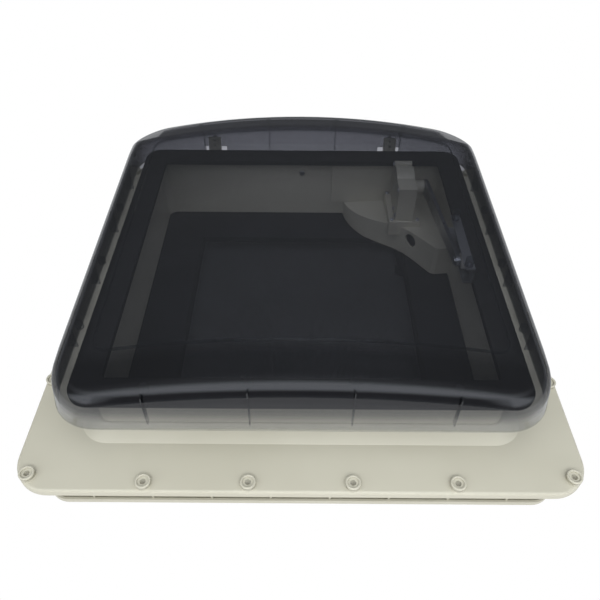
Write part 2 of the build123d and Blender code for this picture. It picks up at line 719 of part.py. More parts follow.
with BuildPart() as gearbox_housing:
    with BuildSketch(AXIS_X.offset(HOUSING_X[0])):
        Circle(HOUSING_R)
        with Locations(((HOUSING_FRONT - PIVOT_Y) / 2, HOUSING_MID)):
            Rectangle(PIVOT_Y - HOUSING_FRONT, HOUSING_TALL)
        with Locations(*EAR_AT):
            Circle(COVER_EAR_R)
    extrude(amount=HOUSING_X[1] - HOUSING_X[0])
    # Foot plate on the plinth
    with BuildSketch(Plane.XY.offset(PLINTH_TOP)):
        with Locations(PLINTH_AT):
            RectangleRounded(*PLINTH_SIZE, 2)
    extrude(amount=FOOT_PLATE)
    with BuildSketch(AXIS_X.offset(HOUSING_X[1])):
        Circle(SLEEVE_R)
    extrude(amount=SLEEVE_END - HOUSING_X[1])
    # Room for the wheel and the worm, open towards the cover
    with BuildSketch(AXIS_X.offset(HOUSING_X[0])):
        Circle(WHEEL_ROOM)
        with Locations((WORM_Y - PIVOT_Y, 0)):
            Rectangle(2 * WORM_ROOM, WORM_TALL + 4)
    extrude(amount=GEAR_X + WORM_ROOM - HOUSING_X[0], mode=Mode.SUBTRACT)
    with BuildSketch(AXIS_X.offset(HOUSING_X[0])):
        Circle(AXLE_R + RUNNING)
    extrude(amount=SLEEVE_END - HOUSING_X[0], mode=Mode.SUBTRACT)
    # Bush below the worm and journal above it
    with BuildSketch(Plane.XY.offset(PLINTH_TOP)):
        with Locations((GEAR_X, WORM_Y)):
            Circle(BUSH_R)
    extrude(amount=BUSH_TOP - PLINTH_TOP, mode=Mode.SUBTRACT)
    with BuildSketch(Plane.XY.offset(PLINTH_TOP)):
        with Locations((GEAR_X, WORM_Y)):
            Circle(SHAFT_R + RUNNING)
    extrude(amount=SHAFT_TOP + 0.5 - PLINTH_TOP, mode=Mode.SUBTRACT)
    with BuildSketch(Plane.XY.offset(PLINTH_TOP)):
        with Locations(*MOUNT_SCREWS):
            Circle(SMALL_SCREW_R + 0.05)
    extrude(amount=FOOT_PLATE, mode=Mode.SUBTRACT)
    with BuildSketch(AXIS_X.offset(HOUSING_X[0])):
        with Locations(*COVER_SCREWS):
            Circle(SMALL_SCREW_R + 0.05)
    extrude(amount=8, mode=Mode.SUBTRACT)
finish(gearbox_housing.part, "gearbox_housing")

with BuildPart() as gearbox_cover:
    with BuildSketch(AXIS_X.offset(HOUSING_X[0] - COVER_WALL)):
        Circle(HOUSING_R)
        with Locations(((HOUSING_FRONT - PIVOT_Y) / 2, HOUSING_MID)):
            Rectangle(PIVOT_Y - HOUSING_FRONT, HOUSING_TALL)
        with Locations(*EAR_AT):
            Circle(COVER_EAR_R)
        Circle(AXLE_R + RUNNING, mode=Mode.SUBTRACT)
        with Locations(*COVER_SCREWS):
            Circle(SMALL_SCREW_R + 0.05, mode=Mode.SUBTRACT)
    extrude(amount=COVER_WALL)
    with BuildSketch(Plane.XY.offset(PLINTH_TOP)):
        Rectangle(400, 400)
    extrude(amount=FOOT_PLATE, mode=Mode.SUBTRACT)
finish(gearbox_cover.part, "gearbox_cover")

cover_x = HOUSING_X[0] - COVER_WALL
heads = [(cover_x, PIVOT_Y + y, PIVOT_Z + z) for y, z in COVER_SCREWS]
gearbox_cover_screws = screw_set(heads, (-1, 0, 0), pan_screw(SMALL_SCREW_R, 2.6, 1.8, 9))
finish(gearbox_cover_screws, "gearbox_cover_screws")

heads = [(x, y, PLINTH_TOP + FOOT_PLATE) for x, y in MOUNT_SCREWS]
gearbox_mount_screws = screw_set(heads, (0, 0, 1), pan_screw(SMALL_SCREW_R, 2.6, 1.8, 9))
finish(gearbox_mount_screws, "gearbox_mount_screws")

with BuildPart() as worm_bush:
    with BuildSketch(Plane.XY.offset(BUSH_BOTTOM)):
        with Locations((GEAR_X, WORM_Y)):
            Circle(BUSH_R - 0.02)
            Circle(SHAFT_R + RUNNING, mode=Mode.SUBTRACT)
    extrude(amount=BUSH_TOP - BUSH_BOTTOM)
finish(worm_bush.part, "worm_bush")

# Worm wheel with straight teeth, narrow enough to run with the worm's thread
with BuildSketch() as tooth:
    with BuildLine():
        root, tip = WHEEL_PITCH_R - 1.4 * MODULE, WHEEL_PITCH_R + 0.9 * MODULE
        Polyline((root, -TOOTH_ROOT), (tip, -TOOTH_TIP), (tip, TOOTH_TIP), (root, TOOTH_ROOT), close=True)
    make_face()

with BuildPart() as worm_wheel:
    with BuildSketch(AXIS_X.offset(GEAR_X - WHEEL_WIDTH / 2)):
        Circle(WHEEL_PITCH_R - 1.25 * MODULE)
        with PolarLocations(0, WHEEL_TEETH, start_angle=180):
            add(tooth.sketch)
        Circle(AXLE_R, mode=Mode.SUBTRACT)
    extrude(amount=WHEEL_WIDTH)
finish(worm_wheel.part, "worm_wheel")

# Lift arm on the wheel's axle ------------------------------------------------------------

with BuildPart() as arm_axle:
    with BuildSketch(AXIS_X.offset(HOUSING_X[0] - COVER_WALL)):
        Circle(AXLE_R)
    extrude(amount=ARM_X + ARM_WALL / 2 + 3 - HOUSING_X[0] + COVER_WALL)
    # Groove for the clip, and a flat that carries the arm
    with BuildSketch(AXIS_X.offset(ARM_X + ARM_WALL / 2)):
        Circle(AXLE_R)
        Circle(CLIP_GROOVE_R, mode=Mode.SUBTRACT)
    extrude(amount=CLIP_WALL, mode=Mode.SUBTRACT)
finish(arm_axle.part, "arm_axle")

with BuildPart() as lift_arm:
    with BuildSketch(AXIS_X.offset(ARM_X - ARM_WALL / 2)):
        reach = (SHOE_Y - PIVOT_Y, SHOE_Z - PIVOT_Z)
        rise = math.atan2(reach[1], -reach[0])
        nx, nz = math.sin(rise), math.cos(rise)
        with BuildLine():
            Polyline(
                (nx * ARM_HUB_R, nz * ARM_HUB_R),
                (reach[0] + nx * ARM_TIP_R, reach[1] + nz * ARM_TIP_R),
                (reach[0] - nx * ARM_TIP_R, reach[1] - nz * ARM_TIP_R),
                (-nx * ARM_HUB_R, -nz * ARM_HUB_R),
                close=True,
            )
        make_face()
        Circle(ARM_HUB_R)
        with Locations(reach):
            Circle(ARM_TIP_R)
            Circle(SHOE_PIN_R, mode=Mode.SUBTRACT)
        Circle(AXLE_R, mode=Mode.SUBTRACT)
    extrude(amount=ARM_WALL)
finish(lift_arm.part, "lift_arm")

with BuildPart() as axle_clip:
    with BuildSketch(AXIS_X.offset(ARM_X + ARM_WALL / 2)):
        Circle(CLIP_R)
        Circle(CLIP_GROOVE_R, mode=Mode.SUBTRACT)
        with Locations((CLIP_R / 2, 0)):
            Rectangle(CLIP_R, CLIP_GROOVE_R * 1.4, mode=Mode.SUBTRACT)
    extrude(amount=CLIP_WALL)
finish(axle_clip.part, "axle_clip")

SHOE_AXIS = Plane(origin=(0, SHOE_Y, SHOE_Z), x_dir=(0, 1, 0), z_dir=(1, 0, 0))

with BuildPart() as shoe_pin:
    with BuildSketch(SHOE_AXIS.offset(ARM_X - ARM_WALL / 2 - 1.5)):
        Circle(SHOE_PIN_R + 1.2)
    extrude(amount=1.5)
    with BuildSketch(SHOE_AXIS.offset(ARM_X - ARM_WALL / 2)):
        Circle(SHOE_PIN_R)
    extrude(amount=SHOE_X[1] - ARM_X + ARM_WALL / 2)
finish(shoe_pin.part, "shoe_pin")

with BuildPart() as slide_shoe:
    with BuildSketch(SHOE_AXIS.offset(SHOE_X[0])):
        RectangleRounded(SHOE_LONG, SHOE_TALL, 3)
        Circle(SHOE_PIN_R + RUNNING, mode=Mode.SUBTRACT)
    extrude(amount=SHOE_X[1] - SHOE_X[0])
finish(slide_shoe.part, "slide_shoe")

# Crank -----------------------------------------------------------------------------------

WORM_AXIS = Plane(origin=(GEAR_X, WORM_Y, 0))
lead = math.pi * MODULE
turns = round(WORM_TALL / lead)

with BuildPart() as worm_shaft:
    with BuildSketch(WORM_AXIS.offset(CRANK_Z)):
        Circle(SHAFT_R)
    extrude(amount=SHAFT_TOP - CRANK_Z)
    with BuildSketch(WORM_AXIS.offset(PIVOT_Z - WORM_TALL / 2)):
        Circle(WORM_ROOT_R)
    extrude(amount=WORM_TALL)
    # A quarter turn lower, so that a wheel tooth stands midway between two threads
    with BuildLine(WORM_AXIS.offset(PIVOT_Z - lead * (turns - 0.5) / 2)) as path:
        Helix(pitch=lead, height=lead * (turns - 1), radius=WORM_ROOT_R)
    start = path.line @ 0
    across = Vector(start.X - GEAR_X, start.Y - WORM_Y, 0)
    with BuildSketch(Plane(origin=start, x_dir=across, z_dir=path.line % 0)):
        with BuildLine():
            Polyline(
                (-THREAD_FOOT, -THREAD_ROOT),
                (THREAD_TALL, -THREAD_TIP),
                (THREAD_TALL, THREAD_TIP),
                (-THREAD_FOOT, THREAD_ROOT),
                close=True,
            )
        make_face()
    sweep(path=path.line, is_frenet=True)
    with BuildSketch(WORM_AXIS.offset(CRANK_Z)):
        Circle(SMALL_SCREW_R + 0.05)
    extrude(amount=10, mode=Mode.SUBTRACT)
finish(worm_shaft.part, "worm_shaft")

with BuildPart() as crank_handle:
    with BuildSketch(WORM_AXIS.offset(CRANK_Z)):
        Circle(CRANK_HUB_R)
        with Locations((0, -CRANK_RADIUS)):
            Circle(CRANK_TIP_R)
        with BuildLine():
            Polyline(
                (CRANK_HUB_R - 0.3, 0),
                (CRANK_TIP_R - 0.2, -CRANK_RADIUS),
                (-CRANK_TIP_R + 0.2, -CRANK_RADIUS),
                (-CRANK_HUB_R + 0.3, 0),
                close=True,
            )
        make_face()
        Circle(SHAFT_R, mode=Mode.SUBTRACT)
        with Locations((0, -CRANK_RADIUS)):
            Circle(KNOB_PIN_R, mode=Mode.SUBTRACT)
    extrude(amount=CRANK_WALL)
finish(crank_handle.part, "crank_handle")

crank_screw = screw_set([(GEAR_X, WORM_Y, CRANK_Z)], (0, 0, -1), pan_screw(SMALL_SCREW_R, 5.5, 2.2, 8))
finish(crank_screw, "crank_screw")

KNOB_AXIS = Plane(origin=(GEAR_X, WORM_Y - CRANK_RADIUS, 0))
with BuildPart() as knob_pin:
    with BuildSketch(KNOB_AXIS.offset(KNOB_Z[0] + 1.2)):
        Circle(KNOB_PIN_R + 1.2)
    extrude(amount=1.0)
    with BuildSketch(KNOB_AXIS.offset(KNOB_Z[0] + 2.2)):
        Circle(KNOB_PIN_R)
    extrude(amount=CRANK_Z + CRANK_WALL - KNOB_Z[0] - 2.2)
finish(knob_pin.part, "knob_pin")

with BuildPart() as crank_knob:
    with BuildSketch(KNOB_AXIS.offset(KNOB_Z[0])):
        Circle(KNOB_R)
    extrude(amount=KNOB_Z[1] - KNOB_Z[0])
    fillet(crank_knob.edges().filter_by(GeomType.CIRCLE), radius=1.2)
    with BuildSketch(KNOB_AXIS.offset(KNOB_Z[0])):
        Circle(KNOB_PIN_R + 1.2 + RUNNING)
    extrude(amount=2.2 + RUNNING, mode=Mode.SUBTRACT)
    with BuildSketch(KNOB_AXIS.offset(KNOB_Z[0])):
        Circle(KNOB_PIN_R + RUNNING)
    extrude(amount=KNOB_Z[1] - KNOB_Z[0], mode=Mode.SUBTRACT)
finish(crank_knob.part, "crank_knob")
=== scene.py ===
"""Looks of the crank-up roof vent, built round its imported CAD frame. Lengths are in metres."""

import json
import math

import bmesh
import bpy
from mathutils import Matrix, Vector


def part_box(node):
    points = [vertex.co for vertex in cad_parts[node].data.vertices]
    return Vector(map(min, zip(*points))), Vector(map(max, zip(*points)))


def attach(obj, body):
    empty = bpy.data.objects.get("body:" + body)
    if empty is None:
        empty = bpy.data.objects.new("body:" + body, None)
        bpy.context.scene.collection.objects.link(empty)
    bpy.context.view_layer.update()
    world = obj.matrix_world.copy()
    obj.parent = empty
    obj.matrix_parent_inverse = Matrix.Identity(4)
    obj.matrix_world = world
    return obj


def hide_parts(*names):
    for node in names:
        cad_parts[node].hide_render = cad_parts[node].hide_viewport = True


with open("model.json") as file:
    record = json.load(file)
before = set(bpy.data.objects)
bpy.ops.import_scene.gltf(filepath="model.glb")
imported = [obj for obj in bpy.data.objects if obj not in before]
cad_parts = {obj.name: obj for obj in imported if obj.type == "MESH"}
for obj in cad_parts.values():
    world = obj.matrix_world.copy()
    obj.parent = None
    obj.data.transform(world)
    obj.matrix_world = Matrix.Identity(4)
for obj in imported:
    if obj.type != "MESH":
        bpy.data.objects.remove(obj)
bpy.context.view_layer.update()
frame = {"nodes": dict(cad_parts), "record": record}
MM = 0.001

# Places read from the frame
LID_LOW, LID_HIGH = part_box("lid_dome")
FLANGE_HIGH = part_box("base_frame")[1]
MESH_LOW, MESH_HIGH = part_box("screen_mesh")
RAIL_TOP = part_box("lid_rail")[1][2]

# Ribs of the lid and screws of the flange stand in rows of four, at these steps of their pitch
ROW_OF_FOUR = (-1.5, -0.5, 0.5, 1.5)

# Lid form, as the CAD lid has it: a cylinder of radius CROWN_R that climbs to the rear, with aprons
# that slope down outside the creases, a rolled nose and side walls that lean in a little
LID_HALF = LID_HIGH[0]
LID_BOTTOM = LID_LOW[2]
LID_CROWN = 150 * MM
LID_TILT = math.tan(math.radians(1.45))
LID_CORNER = 42 * MM
LID_WALL = 3 * MM
LID_LEAN = 2 * MM
CROWN_R = 850 * MM
CREASE_X = 173 * MM
CREASE_Y = 158 * MM
CREASE_CORNER = 14 * MM
APRON_SLOPE = 0.24
ROLL_R = 12 * MM
ROLL_GIVE = 0.6  # how much the roll and the corners tighten for each step inwards

# Rings of the lid's mesh in its wall, roll, apron and roof
WALL_STEPS = 8
ROLL_STEPS = 12
APRON_STEPS = 6
ROOF_STEPS = 14

# Ribs and bosses inside the lid
RIB_PITCH = 82 * MM
RIB_WIDTH = 1.2 * MM
RIB_DEPTH = 4.5 * MM
RIB_START = 3 * MM
RIB_DROP = LID_WALL + 0.35 * ROLL_R + 3 * MM
RIB_SINK = 0.4 * MM
CREASE_RIB_DROP = 5.5 * MM
CREASE_RIB_WIDTH = 0.9 * MM
CREASE_RIB_SINK = 0.3 * MM
BOSS_AT = 192 * MM
BOSS_R = 3.4 * MM
BOSS_DROP = 9 * MM
RAIL_BOSS_X = 159 * MM
RAIL_BOSS_Y = (-46 * MM, 26 * MM)
RAIL_BOSS_R = 4 * MM

# Windows in the lid's rear wall for the hinges
HINGE_X = 110 * MM
WINDOW_HALF = 14 * MM
WINDOW_DEPTH = 12 * MM
WINDOW_TOP = 104 * MM
CUT_BEYOND = 9 * MM
CUT_BELOW = 5 * MM

# Screw bosses of the flange: radius and rise of each ring round the cup, in millimetres
HOLE_PITCH = 86 * MM
HOLE_CORNER = 226 * MM
HOLE_FROM_EDGE = 7.5 * MM
BOSS_TOP = 53.5 * MM
CUP_PROFILE = ((6.5, -1.5), (6.5, 1.2), (6.1, 1.6), (5.0, 1.6), (4.6, 1.2), (4.4, -0.4))
CUP_SEGMENTS = 32

# Insect screen: flat wires, and the front of the pod that they stop at
WIRE_WIDTH = 0.5 * MM
WIRE_HEIGHT = 0.2 * MM
WIRE_PITCH = 1.25 * MM
WIRE_START = 0.5 * MM
WIRE_MARGIN = 0.3 * MM
WIRE_LIFT = 0.1 * MM
CROSS_LIFT = 0.18 * MM
POD_FRONT = [(x * MM, y * MM) for x, y in ((55, 176), (60, 158), (86, 128), (121, 106), (140, 82), (154, 60))]
POD_GAP = 1.5 * MM

# Smoked plastic: where its rim turns dark (painted shade, for the shadow under the lid's border), where its
# front skirt turns pale (painted light, for the lit flange foot seen through it), and its mirror share
RIM_SHADE_FADE = 14 * MM
RIM_SHADE_EDGE = 0.4
SKIRT_LIGHT_Z = (100 * MM, 112 * MM)
SKIRT_LIGHT_Y = (-196 * MM, -170 * MM)
GRAZING_START = 0.42
GRAZING_EDGE = 0.68
MIRROR_FACING = 0.04
MIRROR_RISE = 0.6
SCHLICK_POWER = 5.0

# Camera
CAMERA_AT = (-0.0015, -0.4717, 0.5035)
CAMERA_TILT = 45.0
CAMERA_ROLL = 0.4
LENS = 35.8
SENSOR = 36

# Floor and lamps
SWEEP = 8.0
PATCH = 0.215
FLOOR_DROP = 0.2 * MM
OVERHEAD_POWER = 8.0
KEY_POWER = 3.3
FRONT_POWER = 7.0

# White tent: its two levels, and the directions over which its high part and its side parts come up
WORLD_DIM = 0.24
WORLD_BRIGHT = 1.9
HIGH_UP = (0.5, 0.72)
HIGH_FRONT = (0.14, -0.3)
SIDE_OUT = (0.5, 0.65)
SIDE_UP = (0.15, 0.3)
SIDE_FRONT = (-0.15, -0.3)


# Mesh helpers -------------------------------------------------------------------------------


def link_mesh(name, bm):
    """Turn a bmesh into an object of the scene."""
    mesh = bpy.data.meshes.new(name)
    bm.to_mesh(mesh)
    bm.free()
    thing = bpy.data.objects.new(name, mesh)
    bpy.context.collection.objects.link(thing)
    return thing


def new_piece(name, bm, material, body, smooth=True):
    """Turn a bmesh into a piece that rides on a body."""
    bmesh.ops.recalc_face_normals(bm, faces=bm.faces)
    piece = link_mesh(name, bm)
    piece.data.materials.append(material)
    for face in piece.data.polygons:
        face.use_smooth = smooth
    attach(piece, body)
    return piece


def add_block(bm, low, high):
    """Axis-aligned block between two corners."""
    spots = [(x, y, z) for z in (low[2], high[2]) for y in (low[1], high[1]) for x in (low[0], high[0])]
    verts = [bm.verts.new(spot) for spot in spots]
    for quad in ((0, 2, 3, 1), (4, 5, 7, 6), (0, 1, 5, 4), (2, 6, 7, 3), (0, 4, 6, 2), (1, 3, 7, 5)):
        bm.faces.new([verts[i] for i in quad])


def add_ring(bm, x, y, z, radius, segments):
    """Level circle of points round x, y."""
    ring = []
    for i in range(segments):
        turn = 2 * math.pi * i / segments
        ring.append(bm.verts.new((x + radius * math.cos(turn), y + radius * math.sin(turn), z)))
    return ring


def bridge(bm, first, second):
    """Band of faces between two closed rings with the same number of points."""
    for i in range(len(first)):
        j = (i + 1) % len(first)
        bm.faces.new((first[i], first[j], second[j], second[i]))


def add_round(bm, low, radius, top, segments=20):
    """Upright round post from the point low up to the height top."""
    foot = add_ring(bm, *low, radius, segments)
    head = add_ring(bm, low[0], low[1], top, radius, segments)
    bridge(bm, foot, head)
    bm.faces.new(foot[::-1])
    bm.faces.new(head)


def rounded_outline(half_x, half_y, corner, side_steps=18, corner_steps=12):
    """Points round a rounded rectangle, the same number for every size."""
    arcs = []
    for quarter, (sign_x, sign_y) in enumerate(((1, -1), (1, 1), (-1, 1), (-1, -1))):
        x, y = sign_x * (half_x - corner), sign_y * (half_y - corner)
        arc = []
        for i in range(corner_steps + 1):
            angle = math.pi / 2 * (quarter - 1 + i / corner_steps)
            arc.append((x + corner * math.cos(angle), y + corner * math.sin(angle)))
        arcs.append(arc)
    points = []
    for arc, following in zip(arcs, arcs[1:] + arcs[:1]):
        points += arc
        last, goal = arc[-1], following[0]
        for i in range(1, side_steps):
            share = i / side_steps
            points.append((last[0] + (goal[0] - last[0]) * share, last[1] + (goal[1] - last[1]) * share))
    return points


# Lid ----------------------------------------------------------------------------------------


def crown(x, y):
    """Height of the lid's top surface over the point x, y."""
    across = min(abs(x), CREASE_X)
    height = LID_CROWN - CROWN_R + math.sqrt(CROWN_R**2 - across**2) + LID_TILT * (y + CREASE_Y)
    return height - APRON_SLOPE * max(abs(x) - CREASE_X, 0) - APRON_SLOPE * max(abs(y) - CREASE_Y, 0)


def lid_rings(inset):
    """Rings of points over the lid, from its lower edge to its middle."""
    rings = []
    roll = ROLL_R - inset * ROLL_GIVE
    base = LID_HALF - inset
    shoulder = base - LID_LEAN
    # Side wall, up to the start of the roll
    for step in range(WALL_STEPS + 1):
        share = step / WALL_STEPS
        half = base - (base - shoulder) * share
        ring = []
        for x, y in rounded_outline(half, half, LID_CORNER - inset):
            start = crown(x, y) - inset - roll
            ring.append((x, y, LID_BOTTOM + (start - LID_BOTTOM) * share))
        rings.append(ring)
    # Roll, a quarter turn
    for step in range(1, ROLL_STEPS + 1):
        angle = math.pi / 2 * step / ROLL_STEPS
        inward = roll * (1 - math.cos(angle))
        corner = LID_CORNER - inset - inward * ROLL_GIVE
        drop = roll * (1 - math.sin(angle))
        outline = rounded_outline(shoulder - inward, shoulder - inward, corner)
        rings.append([(x, y, crown(x, y) - inset - drop) for x, y in outline])
    # Apron, from the roll to the creases
    edge = shoulder - roll
    last_corner = LID_CORNER - inset - roll * ROLL_GIVE
    for step in range(1, APRON_STEPS + 1):
        share = step / APRON_STEPS
        half_x = edge + (CREASE_X - edge) * share
        half_y = edge + (CREASE_Y - edge) * share
        corner = last_corner + (CREASE_CORNER - last_corner) * share
        rings.append([(x, y, crown(x, y) - inset) for x, y in rounded_outline(half_x, half_y, corner)])
    # Roof, from the creases to a small ring in the middle
    for step in range(1, ROOF_STEPS + 1):
        share = 1 - step / (ROOF_STEPS + 0.5)
        outline = rounded_outline(CREASE_X * share, CREASE_Y * share, CREASE_CORNER * share)
        rings.append([(x, y, crown(x, y) - inset) for x, y in outline])
    return rings


def build_lid(material):
    """Lid shell with an even wall and a rolled nose."""
    bm = bmesh.new()
    edges = []
    for inset in (0, LID_WALL):
        rings = [[bm.verts.new(point) for point in ring] for ring in lid_rings(inset)]
        for lower, upper in zip(rings, rings[1:]):
            bridge(bm, lower, upper)
        bm.faces.new(rings[-1])
        edges.append(rings[0])
    bridge(bm, *edges)
    return new_piece("lid_shell", bm, material, "lid")


def cut(piece, low, high):
    """Cut a block out of a piece for good."""
    bm = bmesh.new()
    add_block(bm, low, high)
    bmesh.ops.recalc_face_normals(bm, faces=bm.faces)
    cutter = link_mesh("cutter", bm)
    modifier = piece.modifiers.new("cut", "BOOLEAN")
    modifier.operation = "DIFFERENCE"
    modifier.object = cutter
    modifier.solver = "EXACT"
    bpy.context.view_layer.update()
    result = bpy.data.meshes.new_from_object(piece.evaluated_get(bpy.context.evaluated_depsgraph_get()))
    piece.modifiers.clear()
    piece.data = result
    bpy.data.objects.remove(cutter)


def cut_hinge_windows(lid):
    """Open the lid's rear wall at both hinges."""
    for middle in (-HINGE_X, HINGE_X):
        low = (middle - WINDOW_HALF, LID_HALF - WINDOW_DEPTH, LID_BOTTOM - CUT_BELOW)
        high = (middle + WINDOW_HALF, LID_HALF + CUT_BEYOND, WINDOW_TOP)
        cut(lid, low, high)


def add_roof_boss(bm, x, y):
    """Round boss that hangs under the roof of the lid."""
    add_round(bm, (x, y, crown(x, y) - BOSS_DROP), BOSS_R, crown(x, y) - LID_WALL)


def add_crease_rib(bm):
    """Upright rib that runs round under the creases."""
    rows = []
    for grow in (CREASE_RIB_WIDTH / 2, -CREASE_RIB_WIDTH / 2):
        outline = rounded_outline(CREASE_X + grow, CREASE_Y + grow, CREASE_CORNER + grow)
        for drop in (CREASE_RIB_DROP, LID_WALL - CREASE_RIB_SINK):
            rows.append([bm.verts.new((x, y, crown(x, y) - drop)) for x, y in outline])
    out_low, out_top, in_low, in_top = rows
    bridge(bm, out_low, out_top)
    bridge(bm, out_top, in_top)
    bridge(bm, in_top, in_low)
    bridge(bm, in_low, out_low)


def build_lid_inside(material):
    """Ribs and bosses moulded on the inside of the lid."""
    bm = bmesh.new()
    foot = LID_HALF - LID_WALL - RIB_SINK
    start = LID_BOTTOM + RIB_START
    for step in ROW_OF_FOUR:
        along = step * RIB_PITCH
        near, far = along - RIB_WIDTH / 2, along + RIB_WIDTH / 2
        # The ribs of the front wall are as tall as those of the rear wall
        side_top = crown(foot, along) - RIB_DROP
        end_top = crown(along, foot) - RIB_DROP
        for sign in (-1, 1):
            low, high = sorted((sign * (foot - RIB_DEPTH), sign * foot))
            add_block(bm, (low, near, start), (high, far, side_top))
            add_block(bm, (near, low, start), (far, high, end_top))
            add_roof_boss(bm, sign * BOSS_AT, along)
            add_roof_boss(bm, along, sign * BOSS_AT)
    add_crease_rib(bm)
    for y in RAIL_BOSS_Y:
        add_round(bm, (RAIL_BOSS_X, y, RAIL_TOP), RAIL_BOSS_R, crown(RAIL_BOSS_X, y) - LID_WALL)
    return new_piece("lid_inside_ribs", bm, material, "lid", smooth=False)


# Base ---------------------------------------------------------------------------------------


def build_boss_rings(material):
    """Raised rings that turn the screw bosses of the flange into small cups."""
    bm = bmesh.new()
    edge = FLANGE_HIGH[0] - HOLE_FROM_EDGE
    places = [(sign_x * HOLE_CORNER, sign_y * HOLE_CORNER) for sign_x in (-1, 1) for sign_y in (-1, 1)]
    for step in ROW_OF_FOUR:
        for sign in (-1, 1):
            places += [(step * HOLE_PITCH, sign * edge), (sign * edge, step * HOLE_PITCH)]
    for x, y in places:
        rings = []
        for radius, rise in CUP_PROFILE:
            rings.append(add_ring(bm, x, y, BOSS_TOP + rise * MM, radius * MM, CUP_SEGMENTS))
        for first, second in zip(rings, rings[1:] + rings[:1]):
            bridge(bm, first, second)
    return new_piece("boss_rings", bm, material, "base")


def follow(points, value, axis):
    """Other coordinate of a polyline where its coordinate on this axis equals value, or None."""
    for first, second in zip(points, points[1:]):
        a, b = first[axis], second[axis]
        if min(a, b) <= value <= max(a, b) and a != b:
            share = (value - a) / (b - a)
            return first[1 - axis] + (second[1 - axis] - first[1 - axis]) * share
    return None


def wire_end(place, axis):
    """Where the wire at this place on the axis ends: at the pod, or at the far side of the mesh."""
    far = MESH_HIGH[1 - axis]
    stop = follow(POD_FRONT, place, axis)
    if stop is not None:
        return min(far, stop - POD_GAP)
    last_x, last_y = POD_FRONT[-1]
    if axis == 0 and place > last_x:
        return last_y - POD_GAP
    return far


def build_screen(material):
    """Woven screen: two layers of crossing wires, cut off along the pod. The mesh is square."""
    bm = bmesh.new()
    low_z = MESH_LOW[2] + WIRE_LIFT
    cross_z = low_z + CROSS_LIFT
    for i in range(int((MESH_HIGH[0] - MESH_LOW[0]) / WIRE_PITCH) + 1):
        place = MESH_LOW[0] + WIRE_START + i * WIRE_PITCH
        if place > MESH_HIGH[0] - WIRE_MARGIN:
            break
        near, far = place - WIRE_WIDTH / 2, place + WIRE_WIDTH / 2
        add_block(bm, (near, MESH_LOW[1], low_z), (far, wire_end(place, 0), low_z + WIRE_HEIGHT))
        add_block(bm, (MESH_LOW[0], near, cross_z), (wire_end(place, 1), far, cross_z + WIRE_HEIGHT))
    return new_piece("screen_weave", bm, material, "base", smooth=False)


# Node helpers -------------------------------------------------------------------------------


def node_material(name):
    """Empty node material with its node tree and output."""
    material = bpy.data.materials.new(name)
    material.use_nodes = True
    tree = material.node_tree
    tree.nodes.clear()
    return material, tree, tree.nodes.new("ShaderNodeOutputMaterial")


def split_place(tree, source):
    """X, Y and Z outputs of a coordinate source, such as Object."""
    place = tree.nodes.new("ShaderNodeTexCoord")
    split = tree.nodes.new("ShaderNodeSeparateXYZ")
    tree.links.new(place.outputs[source], split.inputs["Vector"])
    return split.outputs


def combine(tree, operation, *values):
    """Result of a math node on outputs and fixed numbers."""
    node = tree.nodes.new("ShaderNodeMath")
    node.operation = operation
    for socket, value in zip(node.inputs, values):
        if isinstance(value, float):
            socket.default_value = value
        else:
            tree.links.new(value, socket)
    return node.outputs["Value"]


def step_up(tree, value, low, high):
    """Rise from 0 to 1 while the value goes from low to high."""
    node = tree.nodes.new("ShaderNodeMapRange")
    node.inputs["From Min"].default_value = low
    node.inputs["From Max"].default_value = high
    tree.links.new(value, node.inputs["Value"])
    return node.outputs["Result"]


def noise(tree, scale, detail=4.0):
    """Noise over the piece's own coordinates, in features per metre."""
    place = tree.nodes.new("ShaderNodeTexCoord")
    texture = tree.nodes.new("ShaderNodeTexNoise")
    texture.inputs["Scale"].default_value = scale
    texture.inputs["Detail"].default_value = detail
    tree.links.new(place.outputs["Object"], texture.inputs["Vector"])
    return texture.outputs["Fac"]


def spread(tree, value, low, high):
    """Map a noise value to a range of numbers."""
    node = tree.nodes.new("ShaderNodeMapRange")
    node.inputs["From Min"].default_value = 0.3
    node.inputs["From Max"].default_value = 0.7
    node.inputs["To Min"].default_value = low
    node.inputs["To Max"].default_value = high
    tree.links.new(value, node.inputs["Value"])
    return node.outputs["Result"]


def two_tone(tree, value, dark, light):
    """Colour between dark and light by a noise value."""
    ramp = tree.nodes.new("ShaderNodeValToRGB")
    ramp.color_ramp.elements[0].position = 0.35
    ramp.color_ramp.elements[0].color = (*dark, 1)
    ramp.color_ramp.elements[1].position = 0.65
    ramp.color_ramp.elements[1].color = (*light, 1)
    tree.links.new(value, ramp.inputs["Fac"])
    return ramp.outputs["Color"]


def blend(tree, share, first, second):
    """Mix of two colours, each a fixed colour or an output."""
    node = tree.nodes.new("ShaderNodeMixRGB")
    tree.links.new(share, node.inputs["Fac"])
    for place, colour in ((1, first), (2, second)):
        if isinstance(colour, tuple):
            node.inputs[place].default_value = (*colour, 1)
        else:
            tree.links.new(colour, node.inputs[place])
    return node.outputs["Color"]


# Materials ----------------------------------------------------------------------------------


def solid(name, dark, light, rough, grain, bump, metal=0.0, patch=9.0):
    """Opaque material: two tones, uneven gloss and a fine surface grain."""
    material, tree, output = node_material(name)
    shader = tree.nodes.new("ShaderNodeBsdfPrincipled")
    shader.inputs["Metallic"].default_value = metal
    tree.links.new(two_tone(tree, noise(tree, patch, 3.0), dark, light), shader.inputs["Base Color"])
    tree.links.new(spread(tree, noise(tree, patch * 6), *rough), shader.inputs["Roughness"])
    relief = tree.nodes.new("ShaderNodeBump")
    relief.inputs["Strength"].default_value = bump
    relief.inputs["Distance"].default_value = 0.2 * MM
    tree.links.new(noise(tree, grain, 2.0), relief.inputs["Height"])
    tree.links.new(relief.outputs["Normal"], shader.inputs["Normal"])
    tree.links.new(shader.outputs["BSDF"], output.inputs["Surface"])
    return material


